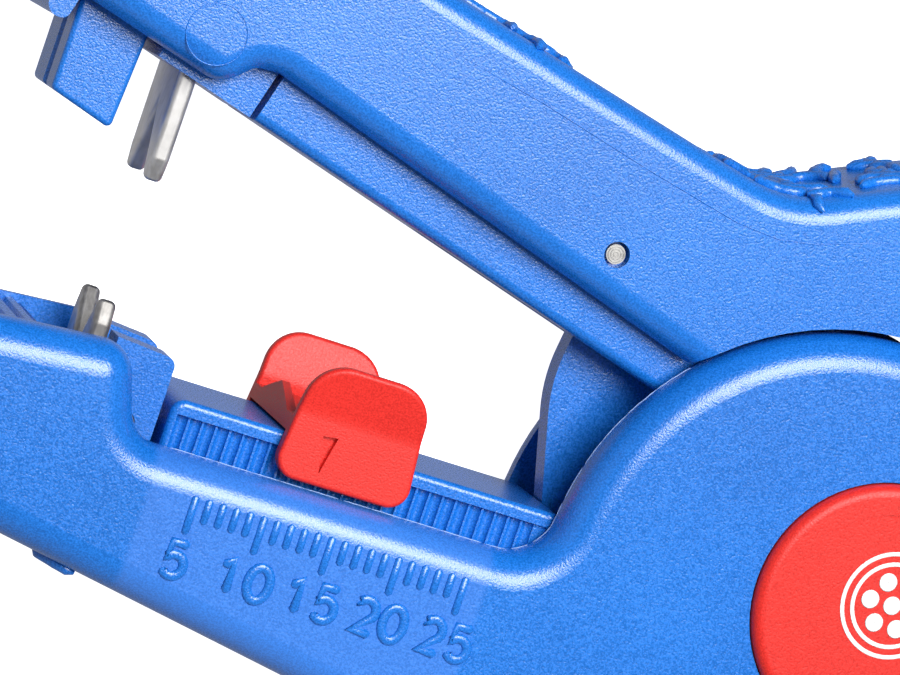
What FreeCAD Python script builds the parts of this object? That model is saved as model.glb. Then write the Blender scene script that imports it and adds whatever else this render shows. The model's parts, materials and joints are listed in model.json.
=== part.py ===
"""Self-adjusting wire stripper with a length stop, lying on its side.

Frame: +Z is the tool's side normal (the scale faces +Z), +X runs from the jaws to the handles
along the lower jaw's rail, and +Y points from the lower jaw to the upper jaw. The origin is on the
rear face, under the centre of the round cap. Millimetres.
"""
import FreeCAD, Part
import math
import os

import Sketcher
from FreeCAD import Placement, Rotation, Vector

FRONT, REAR = 1, -1

DIMENSIONS = [
    ("body_thickness", 19.0, "over the faces of the lower jaw and both handles"),
    ("arm_half", 8.0, "upper arm, mid plane to its outer face"),
    ("wall", 3.0, "side wall of every shell"),
    ("rim_round", 2.4, "rounding of the outer rims of the jaw and the grips"),
    ("arm_round", 1.8, "rounding of the upper arm's outer rim"),
    ("shell_gap", 0.02, "play at the parting plane, on each half"),
    ("hub_radius", 20.75, "cheek of the lower jaw about the main pivot"),
    ("hub_play", 0.45, "gap round the cheek"),
    ("pivot_x", -3.5, "main pivot"),
    ("pivot_y", -2.0, "main pivot"),
    ("sleeve_radius", 4.0, "main pivot sleeve, outside"),
    ("bolt_radius", 2.0, "main pivot bolt"),
    ("handle_pivot_x", 24.1, "handle pivot"),
    ("handle_pivot_y", -6.9, "handle pivot"),
    ("handle_pin_radius", 2.0, "handle pivot pin"),
    ("knuckle_radius", 6.5, "front end of the lower handle about its pivot"),
    ("drive_x", 13.1, "drive stub on the jaw cheek"),
    ("drive_y", -4.9, "drive stub on the jaw cheek"),
    ("drive_radius", 2.0, "drive stub"),
    ("plate_inner", 1.4, "frame plate, mid plane to its inner face"),
    ("plate_outer", 3.9, "frame plate, mid plane to its outer face"),
    ("lever_inner", 4.2, "lever plate, mid plane to its inner face"),
    ("lever_outer", 6.2, "lever plate, mid plane to its outer face"),
    ("draw_half", 1.1, "draw plate, half thickness"),
    ("strip_stroke", 6.0, "travel of both blade slides"),
    ("rail_half", 6.0, "stop rail, half width over the teeth"),
    ("tooth_pitch", 1.0, "teeth of the stop rail"),
    ("tooth_radius", 0.42, "groove between two teeth"),
    ("tooth_recess", 0.3, "teeth below the rail's flange"),
    ("bar_half", 5.2, "upper slide bar, half width"),
    ("blade_half", 4.2, "blades, half width"),
    ("blade_thickness", 1.35, "blades"),
    ("cap_radius", 9.5, "red cap"),
    ("cap_proud", 0.8, "front cap above the cheek"),
    ("arm_pin_radius", 0.7, "guide pin of the upper slide"),
    ("spring_radius", 1.7, "slide springs, mean coil radius"),
    ("spring_wire", 0.5, "slide springs, wire diameter"),
]

doc = FreeCAD.newDocument("wire_stripper")
sheet = doc.addObject("Spreadsheet::Sheet", "dims")
for row, (alias, value, note) in enumerate(DIMENSIONS, start=1):
    sheet.set(f"A{row}", str(value))
    sheet.setAlias(f"A{row}", alias)
    sheet.set(f"B{row}", note)
doc.recompute()


def size(alias):
    """The sheet's number for one alias."""
    return float(sheet.get(alias))


MID = "dims.body_thickness / 2"
MIDDLE = size("body_thickness") / 2
MAIN_PIVOT = (size("pivot_x"), size("pivot_y"))
HANDLE_PIVOT = (size("handle_pivot_x"), size("handle_pivot_y"))
DRIVE = (size("drive_x"), size("drive_y"))
BAR_SLOPE = -0.272                       # rise of the upper slide's travel, per mm along X
BAR_ANGLE = math.degrees(math.atan(BAR_SLOPE))


def bar_line(x, above=0.0):
    """Height of the upper slide's lower face at x, or of a line parallel to it."""
    return 9.9 + BAR_SLOPE * (x + 19.4) + above / math.cos(math.atan(BAR_SLOPE))


# ---------------------------------------------------------------- sketches and features

def unit(a, b):
    """Direction from a to b."""
    length = math.hypot(b[0] - a[0], b[1] - a[1])
    return (b[0] - a[0]) / length, (b[1] - a[1]) / length


def rounded(corners):
    """Lines and arcs of a closed outline whose corners are (x, y) or (x, y, radius)."""
    edges, cuts = [], []
    count = len(corners)
    for i, corner in enumerate(corners):
        point = corner[:2]
        radius = corner[2] if len(corner) > 2 else 0.0
        back = unit(point, corners[i - 1][:2])
        on = unit(point, corners[(i + 1) % count][:2])
        half = math.acos(max(-1.0, min(1.0, back[0] * on[0] + back[1] * on[1]))) / 2
        reach = radius / math.tan(half)
        start = Vector(point[0] + back[0] * reach, point[1] + back[1] * reach, 0)
        end = Vector(point[0] + on[0] * reach, point[1] + on[1] * reach, 0)
        middle = None
        if radius:
            bisector = unit((0, 0), (back[0] + on[0], back[1] + on[1]))
            inset = radius / math.sin(half) - radius
            middle = Vector(point[0] + bisector[0] * inset, point[1] + bisector[1] * inset, 0)
        cuts.append((start, middle, end))
    for i, (start, middle, end) in enumerate(cuts):
        if middle:
            edges.append(Part.Arc(start, middle, end))
        following = cuts[(i + 1) % count][0]
        if (following - end).Length > 1e-6:
            edges.append(Part.LineSegment(end, following))
    return edges


def new_body(label):
    """An empty PartDesign body, named after its piece."""
    body = doc.addObject("PartDesign::Body", label)
    body.Label = label
    return body


def plane_of(body, role):
    """One of the body's own origin planes."""
    return next(item for item in body.Origin.OriginFeatures if item.Role == role)


def new_sketch(body, outlines, circles, level, role="XY_Plane"):
    """A sketch at a level above an origin plane. circles are (x, y, radius expression)."""
    sketch = body.newObject("Sketcher::SketchObject", body.Label + "_sketch")
    sketch.AttachmentSupport = [(plane_of(body, role), "")]
    sketch.MapMode = "FlatFace"
    sketch.setExpression("AttachmentOffset.Base.z", level)
    for corners in outlines:
        first = sketch.GeometryCount
        for edge in rounded(corners):
            sketch.addGeometry(edge, False)
        join_ends(sketch, first)
    for x, y, radius in circles:
        guess = Part.Circle(Vector(x, y, 0), Vector(0, 0, 1), 1.0)
        index = sketch.addGeometry(guess, False)
        sketch.addConstraint(Sketcher.Constraint("DistanceX", -1, 1, index, 3, x))
        sketch.addConstraint(Sketcher.Constraint("DistanceY", -1, 1, index, 3, y))
        bound = sketch.addConstraint(Sketcher.Constraint("Radius", index, 1.0))
        sketch.setExpression(f"Constraints[{bound}]", radius)
    return sketch


def join_ends(sketch, first):
    """Coincident constraints where the edges added last meet."""
    ends = [(index, side, sketch.getPoint(index, side))
            for index in range(first, sketch.GeometryCount) for side in (1, 2)]
    for i, (index, side, point) in enumerate(ends):
        for other, other_side, other_point in ends[i + 1:]:
            if other != index and (point - other_point).Length < 1e-5:
                sketch.addConstraint(Sketcher.Constraint("Coincident", index, side, other, other_side))


def pad(body, outlines, circles, level, length, reverse=False):
    """Raise outlines and circles from a level, downwards when reverse."""
    feature = body.newObject("PartDesign::Pad", body.Label + "_pad")
    feature.Profile = new_sketch(body, outlines, circles, level)
    feature.setExpression("Length", length)
    feature.Reversed = reverse
    doc.recompute()


def pad_across(body, outline, start, length):
    """Raise a (y, z) outline along X from a start; the length is a number or an expression."""
    feature = body.newObject("PartDesign::Pad", body.Label + "_pad")
    sketch = body.newObject("Sketcher::SketchObject", body.Label + "_sketch")
    sketch.AttachmentSupport = [(plane_of(body, "YZ_Plane"), "")]
    sketch.MapMode = "FlatFace"
    for edge in rounded(outline):
        sketch.addGeometry(edge, False)
    join_ends(sketch, 0)
    sketch.AttachmentOffset = Placement(Vector(0, 0, start), Rotation())
    feature.Profile = sketch
    feature.setExpression("Length", str(length))
    doc.recompute()


def pocket(body, outlines, circles, level, length, upward, role="XY_Plane"):
    """Cut from a level, towards the plane's normal when upward."""
    before = body.Shape.Volume
    feature = body.newObject("PartDesign::Pocket", body.Label + "_pocket")
    feature.Profile = new_sketch(body, outlines, circles, level, role)
    feature.setExpression("Length", length)
    feature.Reversed = upward
    doc.recompute()
    if body.Shape.Volume > before - 1e-3:
        raise SystemExit(f"{feature.Name} in {body.Label} cuts nothing")


def fillet(body, chosen, radius):
    """Round the edges that chosen(edge) picks."""
    tip = body.Tip
    names = [f"Edge{i}" for i, edge in enumerate(tip.Shape.Edges, start=1) if chosen(edge)]
    feature = body.newObject("PartDesign::Fillet", body.Label + "_fillet")
    feature.Base = (tip, names)
    feature.setExpression("Radius", radius)
    doc.recompute()
    if feature.Shape.isNull():
        raise SystemExit(f"a fillet of {body.Label} failed")


def upright_near(*spots, reach=1.5):
    """Picks edges parallel to Z that stand near one of the spots."""
    def chosen(edge):
        box = edge.BoundBox
        if box.XLength + box.YLength > 0.01:
            return False
        return any(math.hypot(box.XMin - x, box.YMin - y) < reach for x, y in spots)
    return chosen


def at_level(z):
    """Picks edges that lie flat at one height."""
    return lambda edge: abs(edge.BoundBox.ZMin - z) < 1e-4 and abs(edge.BoundBox.ZMax - z) < 1e-4


def slab(label, outlines, low, high, circles=()):
    """A flat piece between two levels, written as expressions."""
    body = new_body(label)
    pad(body, outlines, list(circles), low, f"({high}) - ({low})")
    return body


def paired(label, outlines, inner, outer, circles):
    """A front and a rear plate, mirrored about the mid plane."""
    slab(f"{label}_front", outlines, f"{MID} + {inner}", f"{MID} + {outer}", circles)
    slab(f"{label}_rear", outlines, f"{MID} - ({outer})", f"{MID} - ({inner})", circles)


def add_solid(label, shape):
    """A piece whose shape comes straight from Part's functions."""
    feature = doc.addObject("Part::Feature", label)
    feature.Label = label
    feature.Shape = shape
    return feature


def pins(label, places, radius, low, high, head=None):
    """A group of identical round pins along Z, with optional heads (radius, height) at both ends."""
    solids = []
    for x, y in places:
        pin = Part.makeCylinder(radius, high - low, Vector(x, y, low))
        if head:
            for start in (low, high - head[1]):
                pin = pin.fuse(Part.makeCylinder(head[0], head[1], Vector(x, y, start)))
        solids.append(pin.removeSplitter())
    add_solid(label, solids[0] if len(solids) == 1 else Part.makeCompound(solids))


def coil(label, start, direction, length, turns, radius, wire):
    """A compression spring from start, along a direction in degrees from X."""
    helix = Part.makeHelix(length / turns, length - wire, radius)
    section = Part.Wire(Part.makeCircle(wire / 2, Vector(radius, 0, 0), Vector(0, 1, 0)))
    feature = add_solid(label, Part.Solid(Part.Wire(helix.Edges).makePipeShell([section], True, True)))
    lean = math.radians(direction)
    along = Vector(math.cos(lean), math.sin(lean), 0)
    feature.Placement = Placement(start, Rotation(Vector(0, 0, 1), along))


# ---------------------------------------------------------------- outlines

def tangent_under_hub(x, y, radius):
    """Where a line from (x, y) touches the lower side of the hub circle."""
    dx, dy = MAIN_PIVOT[0] - x, MAIN_PIVOT[1] - y
    reach = math.hypot(dx, dy)
    angle = math.atan2(dy, dx) - math.asin(radius / reach)
    run = math.sqrt(reach ** 2 - radius ** 2)
    return x + run * math.cos(angle), y + run * math.sin(angle)


JAW_FLOOR = -3.75                        # top rim of the jaw beside the rail
JAW_TOE = (-61.0, -12.7)                 # a point on the jaw's lower edge
JAW_ARM = [
    (-71.0, 1.2, 2.5), (-57.0, 2.3, 2.5), (-55.0, JAW_FLOOR, 2.6), (-23.0, JAW_FLOOR),
    (-16.0, 6.0), MAIN_PIVOT, tangent_under_hub(*JAW_TOE, size("hub_radius")), JAW_TOE,
    (-71.0, -10.9, 4.0),
]
JAW_CAVITY = [
    (-68.6, 8.0), (-26.0, 8.0), (-26.0, 22.0), (10.0, 26.0), (26.0, 0.0), (10.0, -26.0), (-8.0, -27.0),
    (-18.0, -16.4), (-61.4, -10.2), (-68.6, -9.0, 1.5),
]

SADDLE = (-15.6, 25.7)
HEEL = (12.0, 38.0)


def back_line(x):
    """Height of the line from the saddle to the heel of the upper grip."""
    return SADDLE[1] + (HEEL[1] - SADDLE[1]) * (x - SADDLE[0]) / (HEEL[0] - SADDLE[0])


ARM_END, GRIP_START = 7.0, 2.0
UPPER_ARM = [
    (-70.0, 24.3, 2.0), (-56.9, 20.8, 2.0), (-54.9, 22.7, 1.4), (-53.2, 22.8, 1.6), (-16.0, 11.9),
    (ARM_END, 0.0), (ARM_END, back_line(ARM_END)), (*SADDLE, 9.0), (-22.0, 27.0, 30.0),
    (-50.0, 33.2, 30.0), (-62.0, 34.2, 9.0), (-70.0, 31.6, 3.5),
]
NOSE_LIP = [(-69.7, 28.0), (-69.7, 21.7, 0.9), (-68.2, 21.7, 0.6), (-67.6, 24.0), (-67.6, 28.0)]
UPPER_GRIP = [
    (GRIP_START, back_line(GRIP_START)), (GRIP_START, 10.0), (20.0, -4.0), (28.0, 0.3),
    (41.0, 22.4, 16.0), (72.0, 32.5, 40.0), (113.0, 41.0, 7.0), (121.0, 49.5, 6.0),
    (113.0, 58.5, 7.0), (82.0, 53.5, 50.0), (50.0, 48.0, 30.0), (*HEEL, 25.0),
]
UPPER_CAVITY = [
    (-68.0, 15.0), (-68.0, bar_line(-68.0, 5.2)), (-12.0, bar_line(-12.0, 5.2)), (-6.0, 12.0),
    (-8.0, 2.0),
]
DRAW_PLATE_ROOM = [(-25.0, 8.0), (-25.0, 16.0, 1.0), (-19.0, 20.6, 2.0), (-8.0, 20.6), (0.0, 8.0)]
PLATE_SOCKET = [
    (14.0, 0.0), (22.0, -8.0), (31.5, -8.0), (31.5, 8.0), (40.0, 24.0, 8.0), (40.0, 34.0, 3.0),
    (26.0, 34.0, 3.0), (16.5, 12.0),
]
LEVER_ROOM = [(8.0, 0.5), (21.0, 0.5), (27.5, -2.0), (27.5, -14.0), (8.0, -14.0)]
UPPER_GRIP_CORE = [
    (46.0, 29.5, 3.0), (72.0, 37.5, 20.0), (108.0, 45.0, 3.0), (112.0, 50.0, 3.0),
    (108.0, 52.8, 3.0), (82.0, 48.8, 30.0), (46.0, 42.0, 3.0),
]

KNUCKLE = size("knuckle_radius")
KNUCKLE_LEFT = HANDLE_PIVOT[0] - KNUCKLE
TOP_LEAN = math.radians(24.0)            # slope of the lower grip's top edge behind the knuckle
KNUCKLE_TOP = HANDLE_PIVOT[1] + KNUCKLE * (1 + math.sin(TOP_LEAN)) / math.cos(TOP_LEAN)
GRIP_BEND_X = 46.0
LOWER_GRIP = [
    (KNUCKLE_LEFT, KNUCKLE_TOP, KNUCKLE),
    (GRIP_BEND_X, KNUCKLE_TOP - (GRIP_BEND_X - KNUCKLE_LEFT) * math.tan(TOP_LEAN), 30.0),
    (82.0, -20.5, 40.0), (112.0, -29.5, 7.0), (121.0, -38.0, 6.0), (114.0, -47.5, 7.0),
    (84.0, -39.5, 40.0), (56.0, -32.5, 20.0), (38.0, -29.5, 14.0), (24.0, -33.5, 5.0),
    (12.0, -28.5, 4.0), (10.0, -14.0), (KNUCKLE_LEFT, -12.5),
]
LOWER_GRIP_CAVITY = [
    (5.0, 6.0), (33.0, 6.0), (33.5, -7.6), (46.0, -12.0, 20.0), (82.0, -23.5, 30.0),
    (108.0, -31.5, 3.0), (111.0, -38.0, 3.0), (108.0, -43.0, 3.0), (84.0, -36.5, 30.0),
    (56.0, -29.5, 15.0), (38.0, -26.5, 12.0), (24.0, -29.5, 3.0), (18.0, -27.0, 2.0), (5.0, -12.0),
]

HUB = (*MAIN_PIVOT, "dims.hub_radius")
HUB_ROOM = (*MAIN_PIVOT, "dims.hub_radius + dims.hub_play")
KNUCKLE_ROOM = (*HANDLE_PIVOT, "dims.knuckle_radius + dims.hub_play")
ARM_PIN = (-26.8, 18.4)
HOUSING_SCREWS = [(28.5, 28.0), (57.0, 36.8), (101.0, 47.0)]
JAW_SCREWS = [(-65.0, -6.6), (-31.5, -12.4)]
HANDLE_SCREWS = [(50.0, -20.5), (98.0, -34.5)]
SCREW_END = 15.0
SHANK, HEAD_RADIUS, HEAD_LOW, HEAD_HIGH = 1.1, 2.1, 0.6, 1.8
CAP_SEAT, BOLT_SEAT = 1.4, 2.6           # depths of the cap's seat and the bolt head's, from a face
BOLT_HEAD, BOLT_HEAD_HEIGHT = 3.4, 1.2
PIN_HEAD, PIN_HEAD_HEIGHT, PIN_INSET, PIN_SEAT = 3.0, 1.0, 0.6, 1.65
ARM_PIN_INSET = 1.8                      # ends of the guide pin below the grips' faces
FIT = 0.05                               # play of a turning pin or a seated head
OPEN_CUT = "3"                           # a cut that runs out past the face


def screw_holes(body, side, places, hollow):
    """Bosses where the shell is hollow, then shank holes, with a counterbore in the rear shell."""
    level = f"{MID} + {side} * dims.shell_gap"
    depth = "dims.body_thickness / 2 - dims.shell_gap - dims.wall + 0.5"
    if hollow:
        pad(body, [], [(x, y, "2.6") for x, y in hollow], level, depth, side == REAR)
    if side == FRONT:
        pocket(body, [], [(x, y, str(SHANK)) for x, y in places], level, "5.6", True)
    else:
        pocket(body, [], [(x, y, str(SHANK)) for x, y in places], level, "12", False)
        heads = [(x, y, str(HEAD_RADIUS + FIT)) for x, y in places]
        pocket(body, [], heads, str(HEAD_HIGH), OPEN_CUT, False)


def screws(label, places):
    """A group of identical pan-head screws, driven from the rear."""
    solids = []
    for x, y in places:
        shank = Part.makeCylinder(SHANK, SCREW_END - HEAD_HIGH, Vector(x, y, HEAD_HIGH))
        head = Part.makeCylinder(HEAD_RADIUS, HEAD_HIGH - HEAD_LOW, Vector(x, y, HEAD_LOW))
        for turn in (0, 90):
            slot = Part.makeBox(2.4, 0.5, 0.6, Vector(-1.2, -0.25, 0))
            slot.rotate(Vector(0, 0, 0), Vector(0, 0, 1), turn)
            slot.translate(Vector(x, y, HEAD_LOW))
            head = head.cut(slot)
        solids.append(shank.fuse(head).removeSplitter())
    add_solid(label, Part.makeCompound(solids))


# ---------------------------------------------------------------- housing: upper arm and grip

def housing_shell(side):
    """One half of the upper arm and upper grip."""
    name = "front" if side == FRONT else "rear"
    body = new_body(f"housing_{name}_shell")
    level = f"{MID} + {side} * dims.shell_gap"
    full = "dims.body_thickness / 2 - dims.shell_gap"
    pad(body, [UPPER_ARM], [], level, "dims.arm_half - dims.shell_gap", side == REAR)
    arm_rim = at_level(MIDDLE + side * size("arm_half"))
    fillet(body, lambda edge: arm_rim(edge) and edge.BoundBox.XMin < ARM_END - 0.1, "dims.arm_round")
    pad(body, [NOSE_LIP], [], level, "dims.arm_half - 1.5", side == REAR)
    pad(body, [UPPER_GRIP], [], level, full, side == REAR)
    grip_rim = at_level(MIDDLE + side * MIDDLE)
    fillet(body, lambda edge: grip_rim(edge) and (edge.BoundBox.XMin > 12.0 or edge.BoundBox.YMin > 30.0),
           "dims.rim_round")
    pocket(body, [], [HUB_ROOM], level, full, side == FRONT)
    pocket(body, [], [KNUCKLE_ROOM], level, full, side == FRONT)
    pocket(body, [UPPER_CAVITY], [], level, "dims.bar_half + 0.4", side == FRONT)
    pocket(body, [DRAW_PLATE_ROOM], [], level, "dims.plate_inner", side == FRONT)
    pocket(body, [PLATE_SOCKET], [], level, "dims.plate_outer", side == FRONT)
    pocket(body, [LEVER_ROOM], [], level, "dims.lever_outer + 0.3", side == FRONT)
    pocket(body, [UPPER_GRIP_CORE], [], level, "dims.body_thickness / 2 - dims.wall", side == FRONT)
    pocket(body, [spring_room()], [], level, "dims.spring_radius + 0.6", side == FRONT)
    pocket(body, [], [(*ARM_PIN, "dims.arm_pin_radius")], level, full, side == FRONT)
    pocket(body, [], [(*ARM_PIN, "dims.arm_pin_radius + 0.23")],
           f"{MID} + {side} * (dims.arm_half - 0.9)", "3", side == FRONT)
    screw_holes(body, side, HOUSING_SCREWS, HOUSING_SCREWS[1:])


SPRING_START, SPRING_END = -61.0, -36.0  # upper slide spring, along X


def spring_room():
    """Channel for the upper slide's spring, above and parallel to the bar."""
    low, high = 5.6, 5.6 + 2 * size("spring_radius") + 1.4
    return [(SPRING_START, bar_line(SPRING_START, low)), (SPRING_START, bar_line(SPRING_START, high)),
            (SPRING_END, bar_line(SPRING_END, high)), (SPRING_END, bar_line(SPRING_END, low))]


for half in (FRONT, REAR):
    housing_shell(half)

FRAME_PLATE = [
    (-9.6, -2.0, 4.5), (-6.0, 4.2, 4.5), (4.0, 3.2, 3.0), (19.0, 1.2, 4.0), (24.0, 14.0, 3.0),
    (28.0, 31.5, 3.0), (37.0, 31.5, 3.0), (37.0, 24.0, 3.0), (29.6, 4.0, 6.0), (29.2, -9.0, 4.0),
    (24.0, -12.0, 4.0), (17.0, -10.5, 3.0), (4.0, -8.0, 3.0), (-6.0, -8.2, 4.5),
]
paired("frame_plate", [FRAME_PLATE], "dims.plate_inner + 0.05", "dims.plate_outer - 0.05",
       circles=[(*MAIN_PIVOT, "dims.sleeve_radius"), (*HANDLE_PIVOT, "dims.handle_pin_radius"),
                (*HOUSING_SCREWS[0], "1.15")])

slab("pivot_sleeve", [], "dims.wall + 0.1", "dims.body_thickness - dims.wall - 0.1",
     [(*MAIN_PIVOT, "dims.sleeve_radius"), (*MAIN_PIVOT, "dims.bolt_radius")])
THICKNESS = size("body_thickness")
pins("pivot_bolt", [MAIN_PIVOT], size("bolt_radius"), CAP_SEAT, THICKNESS - CAP_SEAT,
     head=(BOLT_HEAD, BOLT_HEAD_HEIGHT))
pins("handle_pin", [HANDLE_PIVOT], size("handle_pin_radius"), PIN_INSET, THICKNESS - PIN_INSET,
     head=(PIN_HEAD, PIN_HEAD_HEIGHT))
pins("arm_pin", [ARM_PIN], size("arm_pin_radius"), ARM_PIN_INSET, THICKNESS - ARM_PIN_INSET)
screws("housing_screws", HOUSING_SCREWS)

CLAMP_HALF = 4.4
CLAMP_BLOCK = [
    (-67.3, 27.5), (-67.3, 16.9, 0.4), (-62.6, 15.5, 0.4), (-61.9, bar_line(-61.9, 4.9)),
]
upper_clamp = slab("upper_clamp_jaw", [CLAMP_BLOCK], f"{MID} - {CLAMP_HALF}", f"{MID} + {CLAMP_HALF}")
for side in (FRONT, REAR):
    rim = at_level(MIDDLE + side * CLAMP_HALF)
    fillet(upper_clamp, lambda edge: rim(edge) and edge.BoundBox.YMin < 20.0, "0.35")
NOSE_GROOVE = [(-67.8, MIDDLE - 0.4), (-66.2, MIDDLE + 0.8), (-67.8, MIDDLE + 2.0)]
pocket(upper_clamp, [NOSE_GROOVE], [], "-30", "20", True, role="XZ_Plane")
spring_from = Vector(SPRING_START + 0.6, bar_line(SPRING_START + 0.6, 8.0), MIDDLE)
coil("upper_slide_spring", spring_from, BAR_ANGLE, 24.0, 12, size("spring_radius"), size("spring_wire"))


# ---------------------------------------------------------------- upper blade slide

def bar_box(start, end, low, high):
    """Outline of a stretch of the upper slide between two X, square to its travel."""
    lean = math.radians(-BAR_ANGLE)

    def above(x, height):
        return x + height * math.sin(lean), bar_line(x) + height * math.cos(lean)
    return [above(start, low), above(end, low), above(end, high), above(start, high)]


bar = slab("upper_slide_bar", [bar_box(-53.5, -17.5, 0.0, 4.6)], f"{MID} - dims.bar_half",
           f"{MID} + dims.bar_half")
fillet(bar, lambda e: abs(e.BoundBox.ZMin - e.BoundBox.ZMax) < 1e-4 and e.BoundBox.XLength > 30
       and e.valueAt(e.FirstParameter).y < bar_line(e.valueAt(e.FirstParameter).x, 1.0), "0.7")
pocket(bar, [bar_box(-39.0, -10.0, -2.0, 8.0)], [], f"{MID} - dims.plate_inner",
       "2 * dims.plate_inner", True)

HOLDER_TOP = 4.6
holder = slab("upper_blade_holder", [bar_box(-61.2, -53.9, 0.0, HOLDER_TOP)],
              f"{MID} - dims.bar_half + 0.2", f"{MID} + dims.bar_half - 0.2")
UPPER_BLADE_X = (-59.3, -59.3 + size("blade_thickness"))
LOWER_BLADE_X = (-59.45, -59.45 + size("blade_thickness"))
BLADE_PLAY = 0.05


def blade_slot(body, span, low, high):
    """Cut the slot that holds a blade."""
    outline = [(span[0] - BLADE_PLAY, low), (span[1] + BLADE_PLAY, low),
               (span[1] + BLADE_PLAY, high), (span[0] - BLADE_PLAY, high)]
    pocket(body, [outline], [], f"{MID} - dims.blade_half - 0.05", "2 * dims.blade_half + 0.1", True)


blade_slot(holder, UPPER_BLADE_X, 15.0, 25.0)


def fork_blade(label, span, root, tip, notch):
    """A steel blade square to X with a V notch between two prongs; tip may be above or below root."""
    body = new_body(label)
    half, prong, slant, bevel, corner, tip_corner = size("blade_half"), 1.1, 0.5, 1.6, 0.5, 0.25
    shoulder = tip - math.copysign(bevel, tip - root)
    profile = [(-half, root), (half, root), (half, shoulder, corner), (half - slant, tip, tip_corner),
               (half - prong, tip, tip_corner), (0.0, notch), (prong - half, tip, tip_corner),
               (slant - half, tip, tip_corner), (-half, shoulder, corner)]
    outline = [(y, z + MIDDLE) + tuple(rest) for z, y, *rest in profile]
    pad_across(body, outline, span[0], "dims.blade_thickness")
    fillet(body, lambda edge: abs(edge.BoundBox.YMin - tip) < 0.01 and abs(edge.BoundBox.YMax - tip) < 0.01
           and edge.BoundBox.ZLength > 0.1, "0.45")


fork_blade("upper_blade", UPPER_BLADE_X, 23.6, 13.0, 18.1)
pins("upper_blade_pin", [(-56.4, bar_line(-56.4, 2.2))], 0.8, MIDDLE - 5.0, MIDDLE + 5.0)
pocket(holder, [], [(-56.4, bar_line(-56.4, 2.2), "0.8")], f"{MID} - 5.2", "10.4", True)

# ---------------------------------------------------------------- lower jaw

JAW_CORNER = 3.6                         # radius where the rail's rim meets the cheek


def jaw_shell(side):
    """One half of the lower jaw, with its round cheek over the hub."""
    name = "front" if side == FRONT else "rear"
    body = new_body(f"jaw_{name}_shell")
    level = f"{MID} + {side} * dims.shell_gap"
    full = "dims.body_thickness / 2 - dims.shell_gap"
    pad(body, [JAW_ARM], [], level, full, side == REAR)
    pad(body, [], [HUB], level, full, side == REAR)
    corner = (MAIN_PIVOT[0] - math.sqrt(size("hub_radius") ** 2 - (JAW_FLOOR - MAIN_PIVOT[1]) ** 2),
              JAW_FLOOR)
    fillet(body, upright_near(corner), str(JAW_CORNER))
    outer = MIDDLE + side * MIDDLE
    fillet(body, at_level(outer), "dims.rim_round")
    pocket(body, [JAW_CAVITY], [], level, "dims.body_thickness / 2 - dims.wall - dims.shell_gap",
           side == FRONT)
    seat = [(0.0, 0.0, "dims.cap_radius + 0.1")]
    bore = [(*MAIN_PIVOT, str(BOLT_HEAD + FIT))]
    for circle, depth in ((seat, CAP_SEAT), (bore, BOLT_SEAT)):
        floor = f"dims.body_thickness - {depth}" if side == FRONT else str(depth)
        pocket(body, [], circle, floor, OPEN_CUT, side == FRONT)
    pocket(body, [], [(*MAIN_PIVOT, "dims.bolt_radius + 0.05")], level, full, side == FRONT)
    pocket(body, [], [(*DRIVE, "dims.drive_radius")], level, "8", side == FRONT)
    screw_holes(body, side, JAW_SCREWS, JAW_SCREWS)


for half in (FRONT, REAR):
    jaw_shell(half)

screws("jaw_screws", JAW_SCREWS)
pins("drive_stub_front", [DRIVE], size("drive_radius"), MIDDLE + 4.3, MIDDLE + 8.0)
pins("drive_stub_rear", [DRIVE], size("drive_radius"), MIDDLE - 8.0, MIDDLE - 4.3)

cap = slab("cap_front", [], f"dims.body_thickness - {CAP_SEAT}", "dims.body_thickness + dims.cap_proud",
           [(0.0, 0.0, "dims.cap_radius")])
fillet(cap, at_level(size("body_thickness") + size("cap_proud")), "dims.cap_proud")
pocket(cap, [], [(0.0, 0.0, "7.4")], "dims.body_thickness + dims.cap_proud - 0.15", "1", True)
slab("cap_rear", [], "0", str(CAP_SEAT), [(0.0, 0.0, "dims.cap_radius")])

CLAMP_FLOOR = [(-68.5, -3.4), (-62.7, -3.4), (-62.7, 1.6, 0.4), (-68.5, 0.6, 0.4)]
lower_clamp = slab("lower_clamp_jaw", [CLAMP_FLOOR], f"{MID} - 6.4", f"{MID} + 6.4")
for step in range(5):
    x = -67.9 + 1.1 * step
    notch = [(x, 1.9), (x + 0.5, 0.75), (x + 1.0, 1.9)]
    pocket(lower_clamp, [notch], [], f"{MID} - 7", "14", True)
coil("lower_slide_spring", Vector(-59.0, -8.6, MIDDLE), -3.0, 24.0, 12, size("spring_radius"),
     size("spring_wire"))


# ---------------------------------------------------------------- lower blade slide and stop rail

RAIL_LEFT, RAIL_RIGHT, RAIL_TOP, RAIL_FOOT = -52.7, -23.9, -0.4, -6.4
TOOTH_TOP = -1.45
rail = slab("stop_rail", [[(RAIL_LEFT, RAIL_FOOT), (RAIL_RIGHT, RAIL_FOOT), (RAIL_RIGHT, RAIL_TOP),
                           (RAIL_LEFT, RAIL_TOP, 1.0)]],
            f"{MID} - dims.rail_half", f"{MID} + dims.rail_half")
fillet(rail, lambda edge: edge.BoundBox.YMin > RAIL_TOP - 0.01 and edge.BoundBox.XLength > 5, "0.45")
teeth = int((RAIL_RIGHT - RAIL_LEFT - 1.2) / size("tooth_pitch"))
for side in (FRONT, REAR):
    tips = MIDDLE + side * (size("rail_half") - size("tooth_recess"))
    beyond = tips + side * 1.0
    under_flange = [(RAIL_LEFT + 0.5, tips), (RAIL_RIGHT - 0.5, tips), (RAIL_RIGHT - 0.5, beyond),
                    (RAIL_LEFT + 0.5, beyond)]
    pocket(rail, [under_flange], [], str(-TOOTH_TOP), "10", True, role="XZ_Plane")
    grooves = [(RAIL_LEFT + 1.0 + i * size("tooth_pitch"), tips, "dims.tooth_radius") for i in range(teeth)]
    pocket(rail, [], grooves, str(-TOOTH_TOP), "10", True, role="XZ_Plane")
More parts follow.
